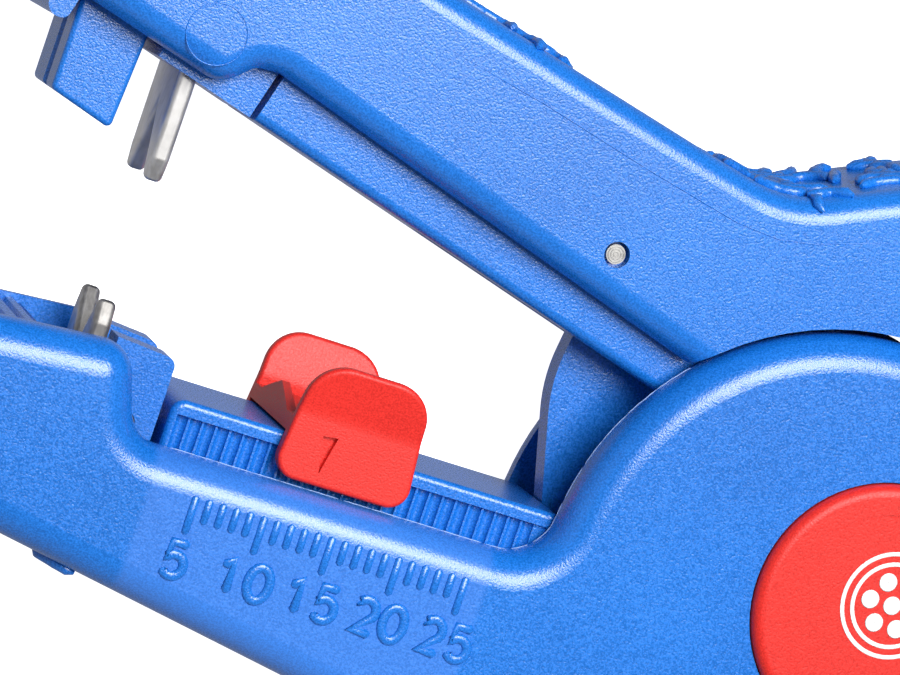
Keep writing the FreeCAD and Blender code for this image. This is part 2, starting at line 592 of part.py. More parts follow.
KEY = [(-27.6, -2.7), (-22.0, -2.7), (-22.0, -5.9), (-27.6, -5.9)]
pocket(rail, [KEY], [], f"{MID} - dims.draw_half - 0.05", "2 * dims.draw_half + 0.1", True)

SLOT_REACH = size("sleeve_radius") + 0.2
DRAW_PLATE = [
    (-25.5, 13.0, 1.2), (-26.1, 8.0, 12.0), (-23.7, -0.6), (-23.7, -2.8), (-27.5, -2.8),
    (-27.5, -5.8), (-23.7, -5.8), (-22.0, -9.0, 2.0), (3.0, -9.0, 3.0), (6.0, -5.0, 3.0),
    (6.0, 1.0, 3.0), (0.0, 5.0, 4.0), (-9.0, 12.0, 4.0), (-14.0, 13.0, 3.0),
]
left, right = MAIN_PIVOT[0] - size("strip_stroke") - SLOT_REACH, MAIN_PIVOT[0] + SLOT_REACH
low, high = MAIN_PIVOT[1] - SLOT_REACH, MAIN_PIVOT[1] + SLOT_REACH
PIVOT_SLOT = [(left, low, SLOT_REACH), (right, low, SLOT_REACH), (right, high, SLOT_REACH),
              (left, high, SLOT_REACH)]
slab("draw_plate", [DRAW_PLATE, PIVOT_SLOT], f"{MID} - dims.draw_half", f"{MID} + dims.draw_half")

lower_holder = slab("lower_blade_holder", [[(-60.6, -6.2), (-53.2, -6.2), (-53.2, -0.2), (-60.6, -0.2)]],
                    f"{MID} - 5.0", f"{MID} + 5.0")
for side in (FRONT, REAR):
    pad(lower_holder, [[(-57.6, -6.0), (-53.2, -6.0), (-53.2, 1.95, 0.7), (-57.6, 2.3)]], [],
        f"{MID} + {side} * 1.8", "3.2", side == REAR)
blade_slot(lower_holder, LOWER_BLADE_X, -5.2, 4.0)
fork_blade("lower_blade", LOWER_BLADE_X, -5.2, 4.3, -0.6)
pins("lower_blade_pin", [(-55.4, -3.2)], 0.8, MIDDLE - 4.8, MIDDLE + 4.8)
pocket(lower_holder, [], [(-55.4, -3.2, "0.8")], f"{MID} - 5.2", "10.4", True)


# ---------------------------------------------------------------- length stop

STOP_LEFT, STOP_RIGHT, STOP_FOOT, STOP_TOP = -45.0, -34.9, -3.3, 5.3
STOP_OUTLINE = [(STOP_LEFT, STOP_FOOT, 1.5), (STOP_RIGHT, STOP_FOOT, 1.5),
                (STOP_RIGHT - 0.9, STOP_TOP, 2.8), (STOP_LEFT + 0.8, STOP_TOP, 2.8)]
STOP_BLANK = [(STOP_LEFT - 2, STOP_FOOT - 2), (STOP_RIGHT + 2, STOP_FOOT - 2),
              (STOP_RIGHT + 2, STOP_TOP + 2), (STOP_LEFT - 2, STOP_TOP + 2)]
POINTER = [(-42.3, 0.2), (-41.2, 0.35), (-41.75, -2.4)]
POINTER_DEPTH = 0.5


def length_stop():
    """Red saddle on the rail: two flared wings, a bridge over the rail and the web the wire meets."""
    body = new_body("length_stop")
    inner, thick, flare = size("rail_half") + 0.25, 1.05, 0.9
    bend = 1.6
    profile = []
    for side in (FRONT, REAR):
        wing = [(STOP_FOOT, inner), (STOP_FOOT, inner + thick), (bend, inner + thick, 3.0),
                (STOP_TOP, inner + thick + flare), (STOP_TOP, inner + flare), (bend, inner, 2.0),
                (0.9, inner)]
        points = [(y, MIDDLE + side * z) + tuple(rest) for y, z, *rest in wing]
        profile += points if side == FRONT else points[::-1]
    under = RAIL_TOP + 0.2
    bridge = [(under, MIDDLE - inner), (under, MIDDLE + inner)]
    pad_across(body, profile + bridge, STOP_LEFT, STOP_RIGHT - STOP_LEFT)
    web = [(0.2, MIDDLE - inner - 0.2), (1.4, MIDDLE - 3.0), (2.3, MIDDLE), (1.4, MIDDLE + 3.0),
           (0.2, MIDDLE + inner + 0.2)]
    pad_across(body, web, STOP_LEFT + 0.1, 1.0)
    pocket(body, [STOP_BLANK, STOP_OUTLINE], [], f"{MID} - 12", "24", True)
    fillet(body, lambda e: abs(e.CenterOfMass.z - MIDDLE) > inner + 0.2 and e.Length > 1.2, "0.3")
    pocket(body, [POINTER], [], f"{MID} + {inner + thick - POINTER_DEPTH}", "2", True)


length_stop()


# ---------------------------------------------------------------- lower handle

def handle_shell(side):
    """One half of the lower handle, with its knuckle round the handle pivot."""
    name = "front" if side == FRONT else "rear"
    body = new_body(f"handle_{name}_shell")
    level = f"{MID} + {side} * dims.shell_gap"
    full = "dims.body_thickness / 2 - dims.shell_gap"
    pad(body, [LOWER_GRIP], [], level, full, side == REAR)
    fillet(body, at_level(MIDDLE + side * MIDDLE), "dims.rim_round")
    pocket(body, [], [HUB_ROOM], level, full, side == FRONT)
    pocket(body, [LOWER_GRIP_CAVITY], [], level, "dims.body_thickness / 2 - dims.wall - dims.shell_gap",
           side == FRONT)
    pocket(body, [], [(*HANDLE_PIVOT, "dims.handle_pin_radius + 0.05")], level, full, side == FRONT)
    sink = f"dims.body_thickness - {PIN_SEAT}" if side == FRONT else str(PIN_SEAT)
    pocket(body, [], [(*HANDLE_PIVOT, str(PIN_HEAD + 0.1))], sink, OPEN_CUT, side == FRONT)
    screw_holes(body, side, HANDLE_SCREWS, HANDLE_SCREWS)


for half in (FRONT, REAR):
    handle_shell(half)

TO_DRIVE = unit(HANDLE_PIVOT, DRIVE)


def from_handle_pivot(along, across):
    """A point along the line from the handle pivot to the drive stub, and across it."""
    return (HANDLE_PIVOT[0] + TO_DRIVE[0] * along - TO_DRIVE[1] * across,
            HANDLE_PIVOT[1] + TO_DRIVE[1] * along + TO_DRIVE[0] * across)


FORK_HALF = size("drive_radius") + 0.3
LEVER_PLATE = [
    from_handle_pivot(15.2, -FORK_HALF - 1.8) + (1.2,), from_handle_pivot(15.2, -FORK_HALF) + (0.5,),
    from_handle_pivot(8.4, -FORK_HALF) + (1.5,), from_handle_pivot(8.4, FORK_HALF) + (1.5,),
    from_handle_pivot(15.2, FORK_HALF) + (0.5,), from_handle_pivot(15.2, FORK_HALF + 1.8) + (1.2,),
    (22.0, -13.5, 3.0), (41.0, -22.0, 3.0), (44.0, -14.0, 2.0), (30.0, -8.6, 4.0), (26.5, -1.9, 3.0),
]
paired("lever_plate", [LEVER_PLATE], "dims.lever_inner", "dims.lever_outer",
       circles=[(*HANDLE_PIVOT, "dims.handle_pin_radius + 0.05")])
screws("handle_screws", HANDLE_SCREWS)


# ---------------------------------------------------------------- handle return spring

def torsion_spring(label, centre, start, turns, radius, wire, pitch, start_leg, end_leg):
    """A coil round the handle pin with two straight legs along its end tangents."""
    height = turns * pitch
    helix = Part.makeHelix(pitch, height, radius)
    section = Part.Wire(Part.makeCircle(wire / 2, Vector(radius, 0, 0), Vector(0, 1, 0)))
    shape = Part.Solid(Part.Wire(helix.Edges).makePipeShell([section], True, True))
    end_angle = math.radians(turns * 360)
    end = Vector(radius * math.cos(end_angle), radius * math.sin(end_angle), height)
    tangent = Vector(-math.sin(end_angle), math.cos(end_angle), 0)
    first = Part.makeCylinder(wire / 2, start_leg, Vector(radius, 0, 0), Vector(0, -1, 0))
    last = Part.makeCylinder(wire / 2, end_leg, end, tangent)
    feature = add_solid(label, shape.fuse([first, last]))
    base = Vector(centre[0], centre[1], MIDDLE - height / 2)
    feature.Placement = Placement(base, Rotation(Vector(0, 0, 1), start))


torsion_spring("handle_return_spring", HANDLE_PIVOT, 50.0, 1.82, 2.75, 0.8, 0.95, 8.0, 9.5)


# ---------------------------------------------------------------- checks and files

def write_parts():
    """Check every object of the document, then write one STEP file for each piece."""
    doc.recompute()
    os.makedirs("parts", exist_ok=True)
    for item in doc.Objects:
        if "Invalid" in item.State or "Error" in item.State:
            raise SystemExit(f"{item.Name} failed: {item.State}")
    pieces = [item for item in doc.Objects
              if item.TypeId == "PartDesign::Body" or item.TypeId == "Part::Feature"]
    for item in pieces:
        shape = item.Shape
        if shape.isNull() or not shape.isValid():
            raise SystemExit(f"{item.Label} has no valid shape")
        shape.exportStep(f"parts/{item.Label}.step")
        print(f"{item.Label:26s} solids {len(shape.Solids)} volume {shape.Volume:9.1f}")


write_parts()
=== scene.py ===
"""Looks of the wire stripper: finishes, moulded detail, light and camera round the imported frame.

Lengths are millimetres in the row frame, and MM turns them into metres. Metres are used for the lights, the
floor, the camera's range, the depths of bumps and CLEAR, and a texture's scale is in cells per metre.
"""
import json
import math
import random

import bpy
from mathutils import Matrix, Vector
from mathutils.bvhtree import BVHTree


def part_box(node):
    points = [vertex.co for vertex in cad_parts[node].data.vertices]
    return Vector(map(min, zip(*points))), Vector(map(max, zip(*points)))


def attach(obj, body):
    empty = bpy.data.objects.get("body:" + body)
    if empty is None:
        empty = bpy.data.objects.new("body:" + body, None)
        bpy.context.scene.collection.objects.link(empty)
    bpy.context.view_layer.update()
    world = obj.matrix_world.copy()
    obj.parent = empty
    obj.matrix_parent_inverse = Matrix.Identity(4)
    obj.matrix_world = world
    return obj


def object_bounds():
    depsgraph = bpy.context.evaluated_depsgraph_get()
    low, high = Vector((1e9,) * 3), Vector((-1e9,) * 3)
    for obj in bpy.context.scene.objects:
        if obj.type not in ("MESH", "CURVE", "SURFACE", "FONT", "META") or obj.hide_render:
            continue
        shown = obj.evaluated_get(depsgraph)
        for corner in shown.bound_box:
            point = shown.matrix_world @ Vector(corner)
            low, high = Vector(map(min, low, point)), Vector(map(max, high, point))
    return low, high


MM = 0.001
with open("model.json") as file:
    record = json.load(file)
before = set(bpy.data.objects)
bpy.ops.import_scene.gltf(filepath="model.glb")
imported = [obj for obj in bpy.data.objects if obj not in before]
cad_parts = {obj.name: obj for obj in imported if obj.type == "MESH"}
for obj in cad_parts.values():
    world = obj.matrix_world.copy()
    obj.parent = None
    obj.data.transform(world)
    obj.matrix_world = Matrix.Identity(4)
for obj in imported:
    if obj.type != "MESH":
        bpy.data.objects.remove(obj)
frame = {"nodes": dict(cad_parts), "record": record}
cad_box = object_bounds()
NODES = frame["nodes"]
scene = bpy.context.scene


# ---------------------------------------------------------------- camera, light and floor

LENS, SENSOR = 160.0, 36.0
CAMERA_PLACE, CAMERA_TURN = (-113.34, 30.63, 280.51), (-9.613, -13.98, 19.637)      # the turn is in degrees
NEAREST, FARTHEST = 0.02, 10.0

FOCUS = (-0.03, 0.01, 0.01)                           # the point that both light boxes face
LIGHTS = {                                            # place, sides, watts
    "key_light": ((0.07, 0.30, 0.65), (0.48, 0.48), 7.6),
    "fill_light": ((-0.75, 0.15, 0.45), (0.6, 0.6), 0.25),
}
FLOOR_HALF, FLOOR_GREY, FLOOR_ROUGH, FLOOR_GLOW = 3.0, 0.8, 0.9, 1.1
SKY_LOW, SKY_HIGH = (0.42, 0.42, 0.43), (0.10, 0.11, 0.13)
SKY_LEAN, SKY_SPAN, SKY_STOPS = 0.9, (-1.2, 1.4), (0.25, 0.85)      # the lean is towards +Y


def add_camera():
    """A long lens looking down on the scale side."""
    data = bpy.data.cameras.new("camera")
    data.lens, data.sensor_width = LENS, SENSOR
    data.clip_start, data.clip_end = NEAREST, FARTHEST
    camera = bpy.data.objects.new("camera", data)
    camera.location = Vector(CAMERA_PLACE) * MM
    camera.rotation_euler = [math.radians(turn) for turn in CAMERA_TURN]
    scene.collection.objects.link(camera)
    scene.camera = camera


def add_lights():
    """Oval soft boxes: a key over the tool's back and a weak fill from the jaws' end."""
    for name, (place, sides, watts) in LIGHTS.items():
        data = bpy.data.lights.new(name, "AREA")
        data.shape, data.energy = "ELLIPSE", watts
        data.size, data.size_y = sides
        light = bpy.data.objects.new(name, data)
        light.location = place
        light.rotation_euler = (Vector(FOCUS) - Vector(place)).to_track_quat("-Z", "Y").to_euler()
        scene.collection.objects.link(light)
    scene.view_settings.view_transform = "Standard"


def add_floor():
    """A white glowing floor. It throws no light back on the tool, so the undersides stay dark."""
    signs = ((-1, -1), (1, -1), (1, 1), (-1, 1))
    corners = [(x * FLOOR_HALF, y * FLOOR_HALF, cad_box[0].z) for x, y in signs]
    mesh = bpy.data.meshes.new("floor")
    mesh.from_pydata(corners, [], [(0, 1, 2, 3)])
    floor = bpy.data.objects.new("floor", mesh)
    scene.collection.objects.link(floor)
    floor.visible_diffuse = floor.visible_glossy = False
    paint, _, shader, _ = new_material("studio_floor")
    shader.inputs["Base Color"].default_value = (FLOOR_GREY, FLOOR_GREY, FLOOR_GREY, 1)
    shader.inputs["Roughness"].default_value = FLOOR_ROUGH
    shader.inputs["Emission Color"].default_value = (1, 1, 1, 1)
    shader.inputs["Emission Strength"].default_value = FLOOR_GLOW
    mesh.materials.append(paint)


def add_sky():
    """A sky that is dim over the tool's back, where the key light is, and brighter below its jaw."""
    scene.world = bpy.data.worlds.new("studio")
    scene.world.use_nodes = True
    tree = scene.world.node_tree
    direction = tree.nodes.new("ShaderNodeTexCoord").outputs["Generated"]
    parts = add_node(tree, "ShaderNodeSeparateXYZ", Vector=direction)
    height = math_node(tree, "MULTIPLY_ADD", parts.outputs["Y"], SKY_LEAN, parts.outputs["Z"])
    colour = ramp(tree, map_range(tree, height, SKY_SPAN), list(zip(SKY_STOPS, (SKY_LOW, SKY_HIGH))))
    tree.links.new(colour, tree.nodes["Background"].inputs["Color"])


# ---------------------------------------------------------------- shader nodes

NOISE_SPAN = (0.3, 0.7)                               # where nearly all of a noise's values lie


def set_input(tree, socket, value):
    """Give an input its value; a value that is a socket is linked."""
    if isinstance(value, bpy.types.NodeSocket):
        tree.links.new(value, socket)
    else:
        socket.default_value = value


def add_node(tree, kind, **inputs):
    """A node with some of its inputs set; an underscore stands for a space in an input's name."""
    node = tree.nodes.new(kind)
    for name, value in inputs.items():
        set_input(tree, node.inputs[name.replace("_", " ")], value)
    return node


def math_node(tree, operation, *values):
    """A math node's result."""
    node = tree.nodes.new("ShaderNodeMath")
    node.operation = operation
    for socket, value in zip(node.inputs, values):
        set_input(tree, socket, value)
    return node.outputs["Value"]


def new_material(name):
    """A new material, its tree, its shader and the object coordinates in metres."""
    material = bpy.data.materials.new(name)
    material.use_nodes = True
    tree = material.node_tree
    place = tree.nodes.new("ShaderNodeTexCoord").outputs["Object"]
    return material, tree, tree.nodes["Principled BSDF"], place


def ramp(tree, factor, stops):
    """A colour ramp with two (position, colour) stops."""
    node = add_node(tree, "ShaderNodeValToRGB", Fac=factor)
    for element, (position, colour) in zip(node.color_ramp.elements, stops):
        element.position, element.color = position, (*colour, 1)
    return node.outputs["Color"]


def noise_of(tree, place, scale, detail=2.0, roughness=0.5):
    """A noise's value."""
    node = add_node(tree, "ShaderNodeTexNoise", Vector=place, Scale=scale, Detail=detail, Roughness=roughness)
    return node.outputs["Fac"]


def map_range(tree, value, given=NOISE_SPAN, wanted=(0.0, 1.0)):
    """Spread the given range of a value over the wanted one, held at its ends."""
    node = add_node(tree, "ShaderNodeMapRange", Value=value, From_Min=given[0], From_Max=given[1],
                    To_Min=wanted[0], To_Max=wanted[1])
    return node.outputs["Result"]


def between(tree, value, low, high, soft):
    """1 where value lies between low and high, with soft edges."""
    rise = map_range(tree, value, (low - soft, low + soft))
    fall = map_range(tree, value, (high + soft, high - soft))
    return math_node(tree, "MULTIPLY", rise, fall)


# ---------------------------------------------------------------- materials

CLOUD_SCALE, CLOUD_SHADE = 60.0, (-0.18, -0.02)       # faint flow clouding, as it shifts the shade
# The grain's spread of colour is partly the plastic's own tone and partly painted glints.
GRAIN_SCALE, GRAIN_DETAIL, GRAIN_GLINT_SHADE = 7500.0, 1.0, 1.2
PIT_SCALE, PIT_SHARE = 5500.0, 0.4                    # pits in the grain, and their share of its depth
PLASTIC_STOPS = (0.25, 0.75)
PANEL_EDGE, PANEL_SHEEN_MIX, PANEL_SMOOTH = 0.25, 0.3, 0.4  # a polished panel's soft edge, its paler tint (painted sheen) and lost grain
STEEL_STOPS, STEEL_BUMP, STEEL_BUMP_SHARE = (0.38, 0.6), 0.00002, 0.5
SCRATCH_DETAIL, SCRATCH_ROUGHNESS = 4.0, 0.65
STAIN_SCALE, STAIN_DETAIL, STAIN_ROUGHNESS = 900.0, 4.0, 0.6
GROUND_LAY, DRAWN_LAY = (3000, 500, 3000), (900, 900, 900)      # scratches per metre along X, Y and Z

# Each plastic's light colour is the end of its grain speckle where the painted glints sit.
BLUE = {"dark": (0.002, 0.115, 0.46), "light": (0.012, 0.205, 0.76),
        "grain_depth": 0.000018, "rough": (0.22, 0.33), "gloss": 0.75}
RED = {"dark": (0.60, 0.018, 0.012), "light": (0.86, 0.030, 0.020),
       "grain_depth": 0.000018, "rough": (0.38, 0.5), "gloss": 0.4}
PALE_FLASH = {"dark": (0.25, 0.40, 0.75), "light": (0.40, 0.55, 0.85),
              "grain_depth": 0.00001, "rough": (0.5, 0.7), "gloss": 0.5}
WHITE_PRINT = {"dark": (0.82, 0.82, 0.80), "light": (0.9, 0.9, 0.89),
               "grain_depth": 0.00001, "rough": (0.5, 0.6), "gloss": 0.5}
SCALE_PANEL = (-53.2, -28.3, (0.10, 0.25, 0.76))      # its ends along X and its paler colour, which is painted sheen


def moulded_plastic(name, dark, light, grain_depth, rough, gloss, panel=None):
    """Satin moulded plastic: spark-eroded grain about a tenth of a millimetre wide, faint flow clouding, and
    a colour speckle on the grain that is partly the plastic's own tone and partly painted glints.

    A panel is (low x, high x, colour): the stretch where the mould was polished and the grain is smoother;
    its paler colour is painted sheen.
    """
    material, tree, shader, place = new_material(name)
    clouds = noise_of(tree, place, CLOUD_SCALE)
    grain = noise_of(tree, place, GRAIN_SCALE, GRAIN_DETAIL)
    pits = add_node(tree, "ShaderNodeTexVoronoi", Vector=place, Scale=PIT_SCALE).outputs["Distance"]
    clouding = map_range(tree, clouds, wanted=CLOUD_SHADE)
    # painted glints: specks of the grain noise lighten the colour, on top of the real clouding
    tone_and_glints = math_node(tree, "MULTIPLY_ADD", grain, GRAIN_GLINT_SHADE, clouding)
    colour = ramp(tree, tone_and_glints, list(zip(PLASTIC_STOPS, (dark, light))))
    fine = add_node(tree, "ShaderNodeBump", Height=grain, Distance=grain_depth, Strength=1.0)
    pitted = add_node(tree, "ShaderNodeBump", Height=pits, Distance=grain_depth * PIT_SHARE, Strength=1.0,
                      Normal=fine.outputs["Normal"])
    # painted sheen: the polished stretch is tinted paler, and its grain bump is softened
    if panel:
        low, high, sheen_tint = panel
        along = add_node(tree, "ShaderNodeSeparateXYZ", Vector=place).outputs["X"]
        polish_and_sheen = between(tree, along, low * MM, high * MM, PANEL_EDGE * MM)
        mix = tree.nodes.new("ShaderNodeMix")
        mix.data_type = "RGBA"
        tree.links.new(math_node(tree, "MULTIPLY", polish_and_sheen, PANEL_SHEEN_MIX), mix.inputs["Factor"])
        tree.links.new(colour, mix.inputs["A"])
        mix.inputs["B"].default_value = (*sheen_tint, 1)
        colour = mix.outputs["Result"]
        kept_grain = math_node(tree, "MULTIPLY_ADD", polish_and_sheen, -PANEL_SMOOTH, 1.0)
        tree.links.new(kept_grain, fine.inputs["Strength"])
    tree.links.new(colour, shader.inputs["Base Color"])
    tree.links.new(map_range(tree, grain, wanted=rough), shader.inputs["Roughness"])
    tree.links.new(pitted.outputs["Normal"], shader.inputs["Normal"])
    shader.inputs["Specular IOR Level"].default_value = gloss
    return material


def ground_steel(name, dark, light, lay, rough, edge=1.0):
    """Ground steel: scratches, lay of them per metre along each axis, and faint stains.

    Surfaces that don't face along X keep only the share edge of the colour: painted shade on a blade's sides.
    """
    material, tree, shader, place = new_material(name)
    stretched = add_node(tree, "ShaderNodeMapping", Vector=place, Scale=lay).outputs["Vector"]
    scratches = noise_of(tree, stretched, 1.0, SCRATCH_DETAIL, SCRATCH_ROUGHNESS)
    stains = noise_of(tree, place, STAIN_SCALE, STAIN_DETAIL, STAIN_ROUGHNESS)
    mixed = math_node(tree, "MULTIPLY_ADD", stains, 0.5, math_node(tree, "MULTIPLY", scratches, 0.5))
    colour = ramp(tree, mixed, list(zip(STEEL_STOPS, (dark, light))))
    # painted shade: the colour is darkened on faces that don't face along X
    if edge < 1.0:
        normal = tree.nodes.new("ShaderNodeTexCoord").outputs["Normal"]
        along = add_node(tree, "ShaderNodeSeparateXYZ", Vector=normal).outputs["X"]
        share = map_range(tree, math_node(tree, "ABSOLUTE", along), (0.0, 1.0), (edge, 1.0))
        side_shaded = tree.nodes.new("ShaderNodeVectorMath")
        side_shaded.operation = "SCALE"
        tree.links.new(colour, side_shaded.inputs[0])
        tree.links.new(share, side_shaded.inputs["Scale"])
        colour = side_shaded.outputs["Vector"]
    bump = add_node(tree, "ShaderNodeBump", Height=scratches, Distance=STEEL_BUMP, Strength=STEEL_BUMP_SHARE)
    tree.links.new(colour, shader.inputs["Base Color"])
    tree.links.new(map_range(tree, scratches, wanted=rough), shader.inputs["Roughness"])
    tree.links.new(bump.outputs["Normal"], shader.inputs["Normal"])
    shader.inputs["Metallic"].default_value = 1.0
    return material


SLOT_FINISHES = {
    "blue_plastic": moulded_plastic("blue_plastic", **BLUE),
    "red_plastic": moulded_plastic("red_plastic", **RED),
    "steel": ground_steel("steel", (0.24, 0.23, 0.22), (0.44, 0.43, 0.41), GROUND_LAY, (0.4, 0.6)),
    "spring_steel": ground_steel("spring_steel", (0.30, 0.29, 0.28), (0.5, 0.49, 0.47), DRAWN_LAY,
                                 (0.25, 0.4)),
}
NODE_FINISHES = {
    "jaw_front_shell": moulded_plastic("panelled_plastic", **BLUE, panel=SCALE_PANEL),
    # The two blades are one steel: the upper's paler colour is a painted highlight, the lower's darker colour
    # painted shade, and edge paints shade on their sides.
    "upper_blade": ground_steel("upper_blade_steel_painted_highlight", (0.78, 0.76, 0.73), (0.96, 0.94, 0.92), GROUND_LAY,
                                (0.45, 0.65), edge=0.55),
    "lower_blade": ground_steel("lower_blade_steel_painted_shade", (0.42, 0.40, 0.38), (0.70, 0.68, 0.65), GROUND_LAY,
                                (0.40, 0.60), edge=0.34),
}
FLASH_FINISH = moulded_plastic("flash_pale", **PALE_FLASH)
PRINT_FINISH = moulded_plastic("print_white", **WHITE_PRINT)


def finish_frame():
    """Give every CAD node its finish: its slot's, unless the node has one of its own."""
    slot_of = {part["node"]: part["material_slot"] for part in frame["record"]["subparts"]}
    for name, node in NODES.items():
        node.data.materials.clear()
        node.data.materials.append(NODE_FINISHES.get(name, SLOT_FINISHES[slot_of[name]]))


# ---------------------------------------------------------------- raised lines

LOOP_GAP = 0.001                                      # a path with its ends this close is a loop
END_RADIUS, END_REACH = 0.35, 0.6                     # a line's end, as shares of the line's radius
TUBE_STEPS = 3


def is_loop(points):
    """Whether a path ends where it starts."""
    return (Vector(points[0]) - Vector(points[-1])).length < LOOP_GAP


def press(mesh, level, flatten, top):
    """Flatten a mesh towards a level, and softly under top where there is one."""
    for vertex in mesh.vertices:
        rise = (vertex.co.z - level * MM) * flatten
        if top and rise > 0:
            rise = top * MM * (1 - math.exp(-rise / (top * MM)))
        vertex.co.z = level * MM + rise


def add_tubes(name, paths, radius, body, slot, material=None, level=None, flatten=1.0, top=None):
    """Round-topped raised lines along paths of (x, y, z) points, as one piece that rides on a body.

    With a level, heights over it are multiplied by flatten and stay under top.
    """
    curve = bpy.data.curves.new(name + "_line", "CURVE")
    curve.dimensions = "3D"
    curve.bevel_depth, curve.bevel_resolution, curve.use_fill_caps = radius * MM, TUBE_STEPS, True
    for points in paths:
        loop = is_loop(points)
        if loop:
            points = points[:-1]
        spline = curve.splines.new("POLY")
        spline.points.add(len(points) - 1)
        spline.use_cyclic_u = loop
        for target, point in zip(spline.points, points):
            target.co = (*(Vector(point) * MM), 1)
        if not loop:
            spline.points[0].radius = spline.points[-1].radius = END_RADIUS
    line = bpy.data.objects.new(name + "_line", curve)
    scene.collection.objects.link(line)
    bpy.context.view_layer.update()
    mesh = bpy.data.meshes.new_from_object(line.evaluated_get(bpy.context.evaluated_depsgraph_get()))
    bpy.data.objects.remove(line)
    mesh.name = name
    if level is not None:
        press(mesh, level, flatten, top)
    mesh.polygons.foreach_set("use_smooth", [True] * len(mesh.polygons))
    mesh.materials.clear()
    mesh.materials.append(material or SLOT_FINISHES[slot])
    piece = bpy.data.objects.new(name, mesh)
    scene.collection.objects.link(piece)
    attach(piece, body)


def rounded_ends(points, radius):
    """The path with short tapered ends, so that a raised line starts and stops softly."""
    if is_loop(points):
        return points
    first, last = Vector(points[0]), Vector(points[-1])
    head = first + (Vector(points[1]) - first).normalized() * radius * END_REACH
    tail = last + (Vector(points[-2]) - last).normalized() * radius * END_REACH
    return [first, head, *map(Vector, points[1:-1]), tail, last]


def arc(centre, radii, start, end, count=14):
    """Points of an elliptical arc; angles in degrees."""
    turns = [math.radians(start + (end - start) * i / (count - 1)) for i in range(count)]
    return [(centre[0] + radii[0] * math.cos(t), centre[1] + radii[1] * math.sin(t)) for t in turns]


def ring(centre, radius, level, count):
    """A closed ring of count edges at a level."""
    return [(x, y, level) for x, y in arc(centre, (radius, radius), 0, 360, count + 1)]


# ---------------------------------------------------------------- scale and print

JAW_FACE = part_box("jaw_front_shell")[1].z / MM
SCALE_START, SCALE_LAST, SCALE_NUMBERED = 5, 25, 5    # first and last lengths, and steps between numbers
SCALE_X = -49.9                                       # the graduation marked 5
TICK_TOP, TICK_LONG, TICK_SHORT, TICK_LEAN = -5.95, -8.75, -7.75, 0.02
TICK_RADIUS, DIGIT_RADIUS, RAISED = 0.28, 0.36, 0.30
DIGIT_WIDTH, DIGIT_HEIGHT, DIGIT_GAP, DIGIT_FOOT = 1.55, 2.35, 0.6, -11.75

STROKES = {                                           # each in a box one wide and one high
    "0": arc((0.5, 0.5), (0.5, 0.5), 0, 360, 30),
    "1": [(0.12, 0.74), (0.55, 1.0), (0.55, 0.0)],
    "2": arc((0.5, 0.68), (0.46, 0.32), 165, -35) + [(0.05, 0.0), (1.0, 0.0)],
    "5": [(0.92, 1.0), (0.18, 1.0), (0.08, 0.52)] + arc((0.47, 0.33), (0.47, 0.33), 140, -155, 18),
}

PRINT_CENTRE, PRINT_DEPTH = (0.5, 1.0), 0.13          # in the cap's shallow dish
PRINT_RINGS, PRINT_LINE, PRINT_FLAT, PRINT_EDGES = (3.0, 3.75), 0.16, 0.1, 59
CORE_RADIUS, CORE_PITCH, CORE_SHARE, CORE_FLAT, CORE_EDGES = 0.62, 1.75, 0.55, 0.035, 24


def add_scale():
    """Raised graduations every millimetre, long and numbered every fifth one."""
    values = range(SCALE_START, SCALE_LAST + 1)
    ticks = []
    for value in values:
        x = SCALE_X + value - SCALE_START
        end = TICK_SHORT if value % SCALE_NUMBERED else TICK_LONG
        ticks.append(rounded_ends([(x, TICK_TOP, JAW_FACE), (x + TICK_LEAN, end, JAW_FACE)], TICK_RADIUS))
    add_tubes("scale_ticks", ticks, TICK_RADIUS, "lower_jaw", "blue_plastic", level=JAW_FACE, top=RAISED)
    for value in values[::SCALE_NUMBERED]:
        label = str(value)
        width = len(label) * DIGIT_WIDTH + (len(label) - 1) * DIGIT_GAP
        left = SCALE_X + value - SCALE_START - width / 2
        paths = []
        for i, digit in enumerate(label):
            start = left + i * (DIGIT_WIDTH + DIGIT_GAP)
            points = [(start + x * DIGIT_WIDTH, DIGIT_FOOT + y * DIGIT_HEIGHT, JAW_FACE)
                      for x, y in STROKES[digit]]
            paths.append(rounded_ends(points, DIGIT_RADIUS))
        add_tubes(f"scale_number_{value}", paths, DIGIT_RADIUS, "lower_jaw", "blue_plastic",
                  level=JAW_FACE, top=RAISED)


def add_cap_print():
    """A printed sign on the red cap: the section of a cable with seven strands."""
    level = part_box("cap_front")[1].z / MM - PRINT_DEPTH
    rings = [ring(PRINT_CENTRE, radius, level, PRINT_EDGES) for radius in PRINT_RINGS]
    add_tubes("cap_print_rings", rings, PRINT_LINE, "lower_jaw", "red_plastic", PRINT_FINISH,
              level, PRINT_FLAT)
    tube = CORE_RADIUS * CORE_SHARE
    spots = [PRINT_CENTRE] + arc(PRINT_CENTRE, (CORE_PITCH, CORE_PITCH), 0, 300, 6)
    cores = [ring(spot, tube, level, CORE_EDGES) for spot in spots]
    add_tubes("cap_print_cores", cores, tube, "lower_jaw", "red_plastic", PRINT_FINISH, level, CORE_FLAT)


# ---------------------------------------------------------------- marks of making

PIN_SINK = 0.3                                        # the arm pin ends this far below the arm's face
ARM_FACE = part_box("arm_pin")[1].z / MM + PIN_SINK
WITNESS_LINE = [(-43.0, 28.1), (-35.0, 26.6), (-26.5, 24.65), (-19.3, 23.2), (-16.0, 23.0), (-13.2, 23.5),
                (-7.3, 25.5)]
WITNESS_RADIUS = 0.06
EJECTOR_CENTRE, EJECTOR_RADIUS, EJECTOR_LINE, EJECTOR_EDGES = (-58.5, 24.0), 2.1, 0.05, 48
PIN_RING_SHARES, PIN_RING_LINE, PIN_RING_FLAT, PIN_RING_EDGES = (0.25, 0.52, 0.8), 0.04, 0.6, 36

